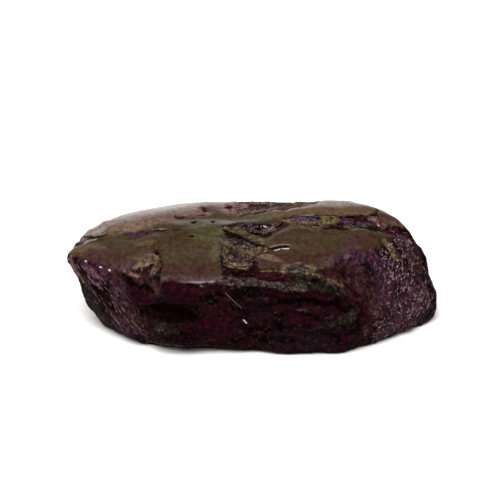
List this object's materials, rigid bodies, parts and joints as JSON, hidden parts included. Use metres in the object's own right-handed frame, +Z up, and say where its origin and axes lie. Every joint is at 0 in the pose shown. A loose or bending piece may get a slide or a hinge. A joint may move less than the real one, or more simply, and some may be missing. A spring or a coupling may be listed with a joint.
{
  "type": "trapiche ruby specimen",
  "caption": "Natural trapiche ruby: one elongated stone, broken on its sides, with polished lobes on top parted by rough crystal-filled grooves.",
  "frame": {"origin": "middle of the stone's box, on the surface that it rests on", "axes": "+X along the stone, with the pointed nose at -X; -Y faces the tall broken front; +Z up, through the polished top"},
  "size_m": [0.0396, 0.0192, 0.0109],
  "materials": {
    "ruby": "polished lobes and rough broken sides, dark maroon to purple with olive and green patches"
  },
  "bodies": {
    "root": {"ruby_stone": "ruby"}
  },
  "joints": []
}
